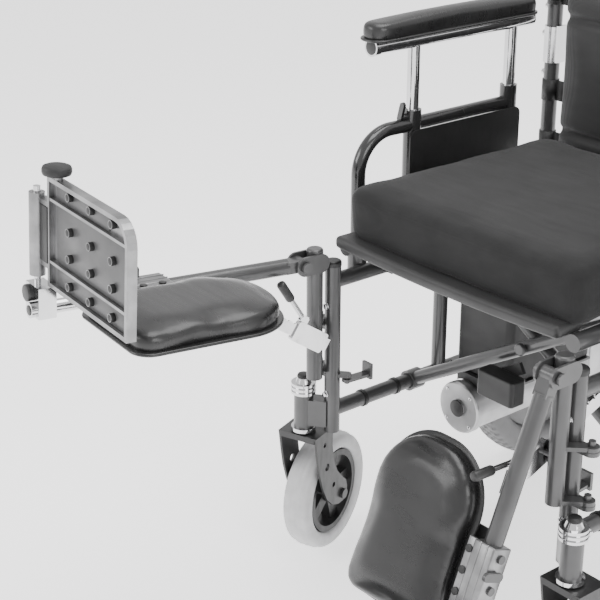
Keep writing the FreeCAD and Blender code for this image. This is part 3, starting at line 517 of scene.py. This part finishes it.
def block(wide, long, tall, radius=0.0, segments=2):
    shape = bmesh.new()
    bmesh.ops.create_cube(shape, size=1.0)
    bmesh.ops.scale(shape, vec=(wide, long, tall), verts=shape.verts)
    if radius:
        soft_edges(shape, radius, segments, lambda e: True)
    return shape


def disc(diameter, tall, radius=0.0, sides=32):
    """Round bar along Z, standing on the origin."""
    shape = bmesh.new()
    radius_of_bar = diameter / 2
    bmesh.ops.create_cone(
        shape, cap_ends=True, segments=sides, radius1=radius_of_bar, radius2=radius_of_bar, depth=tall
    )
    bmesh.ops.translate(shape, vec=(0, 0, tall / 2), verts=shape.verts)
    if radius:
        soft_edges(shape, radius, 2, lambda e: abs(e.verts[0].co.z - e.verts[1].co.z) < 1e-7)
    return shape


def add_shape(target, extra, place):
    """Put another bmesh into target at a place."""
    bmesh.ops.transform(extra, matrix=place, verts=extra.verts)
    mesh = bpy.data.meshes.new("part")
    extra.to_mesh(mesh)
    extra.free()
    target.from_mesh(mesh)
    bpy.data.meshes.remove(mesh)
    return target


for side, outward in SIDES:
    print(side, "knee at", [round(c, 3) for c in leg_matrix(side).translation])

# %% [markdown]
# ## Stuffing
# Foam inside a cover pushes it out evenly, and the cover's seams hold it back. That is a cloth
# simulation with pressure and no gravity: the board is given an even mesh, inflated for a few
# frames, and no point may move further than a cap. Seams are pulled in afterwards, because the even
# mesh would lose them.

# %% Inflate a cover by cloth simulation


def settle(piece):
    """Keep what the modifiers show as the piece's own mesh."""
    graph = bpy.context.evaluated_depsgraph_get()
    finished = bpy.data.meshes.new_from_object(piece.evaluated_get(graph))
    piece.modifiers.clear()
    old = piece.data
    piece.data = finished
    bpy.data.meshes.remove(old)


def ease(moves, edges, rounds):
    """Share each point's move with its neighbours, so that foam swells evenly and keeps its shape."""
    share = numpy.zeros(len(moves))
    for ends in (edges[:, 0], edges[:, 1]):
        numpy.add.at(share, ends, 1.0)
    for turn in range(rounds):
        near = numpy.zeros_like(moves)
        numpy.add.at(near, edges[:, 0], moves[edges[:, 1]])
        numpy.add.at(near, edges[:, 1], moves[edges[:, 0]])
        moves = 0.4 * moves + 0.6 * near / share[:, None]
    return moves


def stuff(piece, voxel, cap, pressure=4.0, frames=20, rounds=14):
    even = piece.modifiers.new("even_mesh", "REMESH")
    even.mode = "VOXEL"
    even.voxel_size = voxel
    settle(piece)
    start = [v.co.copy() for v in piece.data.vertices]
    cloth = piece.modifiers.new("stuffing", "CLOTH")
    cloth.settings.use_pressure = True
    cloth.settings.uniform_pressure_force = pressure
    cloth.settings.tension_stiffness = 25
    cloth.settings.compression_stiffness = 25
    cloth.settings.effector_weights.gravity = 0.0
    cloth.collision_settings.use_collision = False
    scene = bpy.context.scene
    for frame_number in range(1, frames + 1):
        scene.frame_set(frame_number)
    settle(piece)
    first = numpy.array([tuple(point) for point in start])
    moves = numpy.array([tuple(vertex.co) for vertex in piece.data.vertices]) - first
    reach = numpy.maximum(numpy.linalg.norm(moves, axis=1), 1e-9)
    moves *= numpy.minimum(1.0, cap / reach)[:, None]
    edges = numpy.array([tuple(edge.vertices) for edge in piece.data.edges])
    piece.data.vertices.foreach_set("co", (first + ease(moves, edges, rounds)).ravel())
    piece.data.update()
    scene.frame_set(1)
    soft = bmesh.new()
    soft.from_mesh(piece.data)
    for _ in range(3):
        bmesh.ops.smooth_vert(
            soft, verts=soft.verts, factor=0.5, use_axis_x=True, use_axis_y=True, use_axis_z=True
        )
    for face in soft.faces:
        face.smooth = True
    soft.to_mesh(piece.data)
    soft.free()
    finer = piece.modifiers.new("finer", "SUBSURF")
    finer.levels = 1
    finer.render_levels = 1
    settle(piece)
    return piece


def sew(piece, middle, across, along, depth, width):
    """Pull a seam in: points near the plane through middle, square to along, move by depth towards it."""
    for vertex in piece.data.vertices:
        off = (vertex.co - middle).dot(along)
        pull = depth * math.exp(-((off / width) ** 2))
        side = (vertex.co - middle).dot(across)
        vertex.co -= across * math.copysign(min(pull, abs(side) * 0.6), side)


# %% [markdown]
# ## Seat cushion
# The cushion is a thick foam block in a stretch knit cover. Its top is nearly flat with a broad soft
# edge, and its front face leans back towards the bottom. The board is made a little narrow and
# short, its lower edge is drawn in by a fiftieth, and the stuffing fills it out.

# %% Seat cushion
low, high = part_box("seat_cushion")
size = high - low
shape = slab(size.x - 14 * MM, size.y - 10 * MM, size.z + 2 * MM, 26 * MM, 24 * MM, 13 * MM)
for vertex in shape.verts:
    depth = max(0.0, -vertex.co.z) / (size.z / 2)
    vertex.co.x *= 1.0 - 0.02 * depth
    vertex.co.y *= 1.0 - 0.012 * depth
lying = Matrix.Translation((low + high) / 2 + Vector((9 * MM, 1 * MM, -6 * MM)))
cushion = make_piece("seat_cushion_cover", shape, "seat_fabric", place=lying, replaced=["seat_cushion"])
stuff(cushion, 6 * MM, 9 * MM)
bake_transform(cushion)
print("cushion:", len(cushion.data.polygons), "faces")

# %% [markdown]
# ## Seat sling
# Under the cushion a nylon sling hangs between the two seat rails. Its front edge is a padded hem
# that shows as a dark roll, lower in the middle than at the rails. The hem is a long block with
# many steps along it, lowered by a parabola.

# %% Seat sling and its front hem
low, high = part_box("seat_sling")
middle = (low + high) / 2
half = (high.x - low.x) / 2
DECK_WIDE, DECK_LONG = high.x - low.x - 0.02, high.y - low.y - 0.08


def sag(x):
    return 0.006 * (1.0 - (x / half) ** 2)


shape = block(high.x - low.x, 50 * MM, 19 * MM, 7 * MM, 4)
long_edges = [e for e in shape.edges if abs(e.verts[0].co.x - e.verts[1].co.x) > 0.3]
bmesh.ops.subdivide_edges(shape, edges=long_edges, cuts=24, use_grid_fill=True)
for vertex in shape.verts:
    vertex.co.z -= sag(vertex.co.x)
hem_place = Matrix.Translation((middle.x, low.y + 0.026, high.z - 0.010))
hem = make_piece("seat_front_hem", shape, "sling_nylon", place=hem_place, replaced=["seat_sling"])
shape = bmesh.new()
bmesh.ops.create_grid(shape, x_segments=24, y_segments=24, size=0.5)
bmesh.ops.scale(shape, vec=(DECK_WIDE, DECK_LONG, 1), verts=shape.verts)
for vertex in shape.verts:
    vertex.co.z -= sag(vertex.co.x)
bmesh.ops.solidify(shape, geom=shape.faces[:], thickness=2.4 * MM)
deck_place = Matrix.Translation((middle.x, middle.y, low.z + 0.016))
deck = make_piece("seat_sling_deck", shape, "sling_nylon", place=deck_place)
for piece in (hem, deck):
    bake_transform(piece)
print("hem is", round(sag(0) * 1000), "mm lower in the middle")

# %% [markdown]
# ## Back upholstery
# The back is one padded panel sewn through in two level lines, so it reads as three bolsters. It is
# held to the canes by webbing loops, and the panel rides on the right frame.

# %% Back upholstery and its webbing
LOOP_RADIUS, LOOP_TALL = 14.2 * MM, 34 * MM
low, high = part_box("back_rest")
size = high - low
shape = slab(size.x - 8 * MM, size.z - 8 * MM, size.y - 10 * MM, 16 * MM, 16 * MM, 9 * MM)
stand = Matrix.Translation((low + high) / 2) @ Matrix.Rotation(math.pi / 2, 4, "X")
back = make_piece("back_upholstery", shape, "back_fabric", "right_frame", stand, ["back_rest"])
stuff(back, 6 * MM, 8 * MM)
for height in (0.665, 0.850):
    seam = Vector(((low.x + high.x) / 2, (low.y + high.y) / 2, height))
    sew(back, seam, Vector((0, 1, 0)), Vector((0, 0, 1)), 8 * MM, 7 * MM)
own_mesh(back)
for side, outward in SIDES:
    grip_low, grip_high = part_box(f"{side}_push_grip")
    cane = Vector(((grip_low.x + grip_high.x) / 2, (low.y + high.y) / 2 + 0.004, 0))
    for index, height in enumerate((0.635, 0.722, 0.880)):
        shape = bmesh.new()
        bmesh.ops.create_cone(
            shape, cap_ends=False, segments=32, radius1=LOOP_RADIUS, radius2=LOOP_RADIUS, depth=LOOP_TALL
        )
        bmesh.ops.solidify(shape, geom=shape.faces[:], thickness=1.5 * MM)
        tab = block(22 * MM, 3 * MM, LOOP_TALL, 1 * MM, 1)
        add_shape(shape, tab, Matrix.Translation((outward * 20 * MM, 0, 0)))
        make_piece(f"{side}_back_webbing_{index}", shape, "sling_nylon", f"{side}_frame",
                   Matrix.Translation(cane + Vector((0, 0, height))))
print("back:", len(back.data.polygons), "faces")

# %% [markdown]
# ## Calf pads
# Each calf pad is a board with a round knee end and clipped corners at the foot end, foam, and black
# vinyl pulled over it. A piped seam runs round its lower edge. The piping is a thinner board, a
# little larger than the pad, with a fully round rim.

# %% Calf pads
CALF_WIDE, CALF_LONG, CALF_THICK = 185 * MM, 255 * MM, 45 * MM
for side, outward in SIDES:
    centre = Matrix.Translation((outward * 122.5 * MM, -257.5 * MM, 10.5 * MM))
    shape = slab(CALF_WIDE - 9 * MM, CALF_LONG - 9 * MM, CALF_THICK - 12 * MM, 80 * MM, 26 * MM, 11 * MM, 10)
    pad = make_piece(f"{side}_calf_cover", shape, "black_vinyl", f"{side}_leg", leg_matrix(side) @ centre,
                     [f"{side}_calf_pad"])
    stuff(pad, 5 * MM, 8 * MM)
    rim = slab(CALF_WIDE - 1 * MM, CALF_LONG - 1 * MM, 5 * MM, 83 * MM, 28 * MM, 2.4 * MM, 16)
    lower = Matrix.Translation((outward * 122.5 * MM, -257.5 * MM, 0.5 * MM))
    make_piece(f"{side}_calf_piping", rim, "black_vinyl", f"{side}_leg", leg_matrix(side) @ lower)
print("calf pads done")

# %% [markdown]
# ## Arm pads
# The arm pads are long and narrow, with round ends, a crowned top and a flat underside on the tube.

# %% Arm pads
for side, outward in SIDES:
    low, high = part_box(f"{side}_arm_pad")
    size = high - low
    shape = slab(size.x - 7 * MM, size.y - 6 * MM, size.z - 9 * MM, 23 * MM, 23 * MM, 8 * MM)
    middle = (low + high) / 2
    pad = make_piece(f"{side}_arm_cover", shape, "black_vinyl", f"{side}_armrest",
                     Matrix.Translation(middle), [f"{side}_arm_pad"])
    stuff(pad, 4.5 * MM, 6 * MM)
    rim = slab(size.x - 0.5 * MM, size.y - 0.5 * MM, 4.4 * MM, 26 * MM, 26 * MM, 2.1 * MM, 12)
    make_piece(f"{side}_arm_piping", rim, "black_vinyl", f"{side}_armrest",
               Matrix.Translation((middle.x, middle.y, low.z + 8 * MM)))
print("arm pads done")

# %% [markdown]
# ## Tyres
# A tyre is one section spun round its axle. The caster tyre is light grey with fine grooves round
# its tread. The drive tyre has tread blocks: after the spin, every second band of faces on the crown
# is set in. Both are closed rings, so the spin merges its last step with its first.

# %% Tyres
TREAD_DROP = 1.6 * MM


def ring_section(outer, bore, wide, points):
    """Closed tyre section in the XZ plane: a squared ellipse between bore and tread."""
    shape = bmesh.new()
    bmesh.ops.create_circle(shape, segments=points, radius=1.0)
    tall = (outer - bore) / 4
    for vertex in shape.verts:
        x, z = vertex.co.x, vertex.co.y
        square = 1.0 / max(abs(x) ** 3 + abs(z) ** 3, 1e-6) ** (1 / 3)
        vertex.co = Vector((x * square * wide / 2, 0, (outer + bore) / 4 + z * square * tall))
    return shape


def spin_ring(shape, steps):
    bmesh.ops.spin(shape, geom=shape.verts[:] + shape.edges[:], cent=(0, 0, 0), axis=(1, 0, 0),
                   angle=2 * math.pi, steps=steps, use_merge=True)
    bmesh.ops.remove_doubles(shape, verts=shape.verts, dist=1e-6)
    return shape


def tyre_shape(outer, bore, wide, grooves, blocks):
    shape = ring_section(outer, bore, wide, 48)
    crown = outer / 2 - 3.5 * MM
    for vertex in shape.verts:
        if vertex.co.z > crown:
            lane = math.cos(math.pi * vertex.co.x / (wide / grooves / 2))
            vertex.co.z -= 1.1 * MM * (lane < -0.3)
    spin_ring(shape, 120)
    if blocks:
        bmesh.ops.recalc_face_normals(shape, faces=shape.faces)
        bars = []
        for face in shape.faces:
            centre = face.calc_center_median()
            turn = math.degrees(math.atan2(centre.y, centre.z)) + 4.0 * abs(centre.x) / wide * 6
            if math.hypot(centre.y, centre.z) > crown - 4 * MM and int(turn / 3.0) % 2 == 0:
                bars.append(face)
        bmesh.ops.inset_region(shape, faces=bars, thickness=0.8 * MM, depth=-TREAD_DROP)
    return shape


TYRES = (("caster", 5, False, "caster_rubber"), ("drive", 3, True, "drive_rubber"))
for side, outward in SIDES:
    for kind, grooves, blocks, rubber in TYRES:
        node_name = f"{side}_{kind}_tyre"
        hub_joint = f"{side}_{kind}_spin"
        rim_node = f"{side}_caster_hub" if kind == "caster" else f"{side}_drive_rim"
        low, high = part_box(node_name)
        rim_low, rim_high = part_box(rim_node)
        outer, bore = high.z - low.z, rim_high.z - rim_low.z
        wide = 48 * MM if kind == "caster" else high.x - low.x
        body = f"{side}_{kind}_wheel"
        shape = tyre_shape(outer, bore - 0.4 * MM, wide, grooves, blocks)
        make_piece(f"{side}_{kind}_rubber", shape, rubber, body, wheel_matrix(hub_joint), [node_name])
print("tyres done")

# %% [markdown]
# ## Push grips
# The grips are moulded rubber with rings for the fingers and a flange at the front. The outline is
# drawn as a few radii along the bar and spun.

# %% Push grips
for side, outward in SIDES:
    low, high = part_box(f"{side}_push_grip")
    length = high.y - low.y
    radius = (high.x - low.x) / 2
    shape = bmesh.new()
    steps = 56
    line = [shape.verts.new((0, 0, 12.7 * MM))]
    for step in range(steps + 1):
        along = step / steps
        ripple = 0.9 * MM * math.cos(2 * math.pi * 11 * along)
        flange = 1.5 * MM if along < 0.07 else 0.0
        line.append(shape.verts.new((0, along * length, radius - 2.4 * MM + ripple + flange)))
    line.append(shape.verts.new((0, length, 6 * MM)))
    line.append(shape.verts.new((0, length, 0)))
    for first, second in zip(line, line[1:]):
        shape.edges.new((first, second))
    bmesh.ops.spin(shape, geom=shape.verts[:] + shape.edges[:], cent=(0, 0, 0), axis=(0, 1, 0),
                   angle=2 * math.pi, steps=40, use_merge=True)
    bmesh.ops.remove_doubles(shape, verts=shape.verts, dist=1e-5)
    place = Matrix.Translation(((low.x + high.x) / 2, low.y, (low.z + high.z) / 2))
    make_piece(f"{side}_grip_rubber", shape, "grip_rubber", f"{side}_frame", place, [f"{side}_push_grip"])
print("grips done")

# %% [markdown]
# ## Leg clamp extrusion
# The lower end of each leg tube sits in an aluminium extrusion with a narrow flange towards the calf
# pad, and three black plugs close the flange's holes. It is one block with a slot pressed in along
# its face, plus the flange.

# %% Leg clamp extrusion
for side, outward in SIDES:
    place = leg_matrix(side)
    shape = block(35 * MM, 92 * MM, 35 * MM, 2.2 * MM)
    flange = block(15 * MM, 92 * MM, 5 * MM, 1 * MM)
    add_shape(shape, flange, Matrix.Translation((outward * 20.5 * MM, 0, 14 * MM)))
    for step in (-1, 1):
        groove = block(2.5 * MM, 93 * MM, 1.2 * MM, 0.4 * MM)
        add_shape(shape, groove, Matrix.Translation((step * 6 * MM, 0, 17.6 * MM)))
    make_piece(f"{side}_leg_extrusion", shape, "cast_alloy", f"{side}_leg",
               place @ Matrix.Translation((0, -276 * MM, 0)))
    for index in range(3):
        plug = disc(11 * MM, 2.6 * MM, 0.8 * MM, 24)
        spot = Matrix.Translation((outward * 22 * MM, (-246 - 30 * index) * MM, 16 * MM))
        make_piece(f"{side}_flange_plug_{index}", plug, "black_plastic", f"{side}_leg", place @ spot)
print("extrusions done")

# %% [markdown]
# ## Bolts
# Small bright fasteners tell the eye where things pivot. One function makes a hexagon head on a
# washer, and a list says where each one sits and on which body it rides.

# %% Bolt heads


def bolt(name, body, place, axis, across_flats, slot_name="chrome"):
    shape = disc(across_flats * 1.35, 1.2 * MM, 0.3 * MM, 24)
    head = disc(across_flats * 1.12, 4.2 * MM, 0.9 * MM, 6)
    add_shape(shape, head, Matrix.Translation((0, 0, 1.1 * MM)))
    turn = Vector((0, 0, 1)).rotation_difference(Vector(axis)).to_matrix().to_4x4()
    return make_piece(name, shape, slot_name, body, Matrix.Translation(place) @ turn)


for side, outward in SIDES:
    out_axis = Vector((-outward, 0, 0))
    low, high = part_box(f"{side}_push_grip")
    post_x = (low.x + high.x) / 2
    shift_y = joints[f"{side}_caster_swivel"]["pos_m"][1] + 0.029
    rail_z = 0.280
    for index, y in enumerate((0.03, 0.30, 0.52)):
        spot = Vector((post_x, shift_y + y, rail_z)) + out_axis * 12.3 * MM
        bolt(f"{side}_rail_bolt_{index}", f"{side}_frame", spot, out_axis, 8 * MM)
    for index, z in enumerate((0.31, 0.46)):
        spot = Vector((post_x, shift_y - 12.3 * MM, z))
        bolt(f"{side}_post_bolt_{index}", f"{side}_frame", spot, (0, -1, 0), 8 * MM)
print("bolts done")

# %% [markdown]
# ## Footplate tread and toe bumper
# A grey sheet lies in each plate's tray, between the ribs, and black rubber studs stand through it.
# The bumper at the toe end is black too. A thin black sheet in the hinge bracket's mouth is painted shade
# of its recess. Each is laid out in the leg's own axes: X inboard, Y back up the leg, Z to the toes.

# %% Footplate tread
PLATE_LONG = 152 * MM
PLATE_START = 12 * MM
PLATE_FOOT = 36 * MM

for side, outward in SIDES:
    leg = leg_matrix(side)
    foot = (leg.inverted() @ Vector(joints[f"{side}_footplate_fold"]["pos_m"])).y
    body = f"{side}_footrest"
    face_turn = Matrix.Rotation(math.pi / 2, 4, "X")

    def on_plate(across, level, depth):
        spot = Matrix.Translation((outward * (PLATE_START + across), foot + depth, PLATE_FOOT + level))
        return leg @ spot @ face_turn

    for index, (bottom, top) in enumerate(((7, 33), (39, 119), (125, 145))):
        sheet_long = 150 if index == 2 else 196
        sheet = block(sheet_long * MM, (top - bottom) * MM, 1.2 * MM, 0.4 * MM)
        across = (18 + sheet_long / 2) * MM
        make_piece(f"{side}_tread_sheet_{index}", sheet, "tread_sheet", body,
                   on_plate(across, (bottom + top) / 2 * MM, 6.3 * MM))
    stud_rows = [18, 56, 92, 139]
    for column, across in enumerate((62, 122, 182)):
        for row, level in enumerate(stud_rows):
            stud = disc(11.6 * MM, 8.6 * MM, 1.6 * MM, 20)
            make_piece(f"{side}_tread_stud_{column}{row}", stud, "grip_rubber", body,
                       on_plate(across * MM, level * MM, 7.4 * MM))
    bumper = disc(39.6 * MM, 13.4 * MM, 4.5 * MM, 40)
    spot = Matrix.Translation((outward * 36 * MM, foot + 3 * MM, PLATE_FOOT + PLATE_LONG + 6.6 * MM))
    make_piece(f"{side}_toe_bumper", bumper, "grip_rubber", body, leg @ spot)
    for across, level, wide_cap, depth in ((-14, 20, 24, 20.5), (0, 0, 15, 22.4)):
        spot = Matrix.Translation((outward * across * MM, foot - depth * MM + 8 * MM, level * MM))
        cap = disc(wide_cap * MM, 8.6 * MM, 1.5 * MM, 32)
        make_piece(f"{side}_bracket_cap_{wide_cap}", cap, "black_plastic", f"{side}_leg_slide",
                   leg @ spot @ face_turn)
    # painted shade: a thin black sheet stands for the shade inside the hinge bracket's recess
    recess_shade_sheet = block(26 * MM, 78 * MM, 1.6 * MM, 0.5 * MM)
    make_piece(f"{side}_bracket_recess_shade", recess_shade_sheet, "black_plastic", body, on_plate(-12 * MM, 70 * MM, -0.3 * MM))
print("footplates done")

# %% [markdown]
# ## Caps and lever grips
# Plastic caps close the caster heads and the front ends of the arm tubes, and each ratchet lever has
# a dark sleeve. The lever's sleeve follows the lever: its direction comes from the points of the
# lever's own mesh, whose far end is the grip.

# %% Caps, lever grips and motor face


def farthest_run(piece, start):
    """Direction from start to the far end of a piece: the middle of its last 14 mm."""
    points = [piece.matrix_world @ vertex.co for vertex in piece.data.vertices]
    tip = max(points, key=lambda point: (point - start).length)
    near = [point for point in points if (point - tip).length < 14 * MM]
    tip = sum(near, Vector()) / len(near)
    return (tip - start).normalized()


def post_line(side):
    low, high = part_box(f"{side}_push_grip")
    return (low.x + high.x) / 2


for side, outward in SIDES:
    swivel = Vector(joints[f"{side}_caster_swivel"]["pos_m"])
    make_piece(f"{side}_head_cap", disc(21 * MM, 9 * MM, 4 * MM, 32), "black_plastic", f"{side}_frame",
               Matrix.Translation((swivel.x, swivel.y, 0.3295)))
    low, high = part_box(f"{side}_arm_posts")
    cap_place = Matrix.Translation(((low.x + high.x) / 2, low.y - 0.6 * MM, high.z - 14 * MM))
    make_piece(f"{side}_tube_plug", disc(22 * MM, 1.6 * MM, 0.5 * MM, 32), "black_plastic", f"{side}_armrest",
               cap_place @ Matrix.Rotation(-math.pi / 2, 4, "X"))
    hinge = Vector(joints[f"{side}_ratchet_release"]["pos_m"])
    along = farthest_run(nodes[f"{side}_release_lever"], hinge)
    turn = Vector((0, 0, 1)).rotation_difference(along).to_matrix().to_4x4()
    grip = disc(14 * MM, 36 * MM, 3 * MM, 28)
    make_piece(f"{side}_lever_grip", grip, "black_plastic", f"{side}_release",
               Matrix.Translation(hinge + along * 47 * MM) @ turn)
    low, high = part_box(f"{side}_motor")
    middle = Vector((post_line(side) + outward * 55 * MM, low.y, 0.231))
    for turn in range(4):
        angle = math.radians(45 + 90 * turn)
        spot = middle + Vector((math.cos(angle), 0, math.sin(angle))) * 37 * MM
        screw = disc(7 * MM, 3 * MM, 1 * MM, 6)
        make_piece(f"{side}_bell_screw_{turn}", screw, "chrome", f"{side}_frame",
                   Matrix.Translation(spot + Vector((0, 4.6 * MM, 0))) @ Matrix.Rotation(math.pi / 2, 4, "X"))
    eye = disc(30 * MM, 2 * MM, 0.8 * MM, 40)
    make_piece(f"{side}_bell_eye", eye, "black_plastic", f"{side}_frame",
               Matrix.Translation(middle + Vector((0, 0.5 * MM, 0))) @ Matrix.Rotation(math.pi / 2, 4, "X"))
print("caps done")
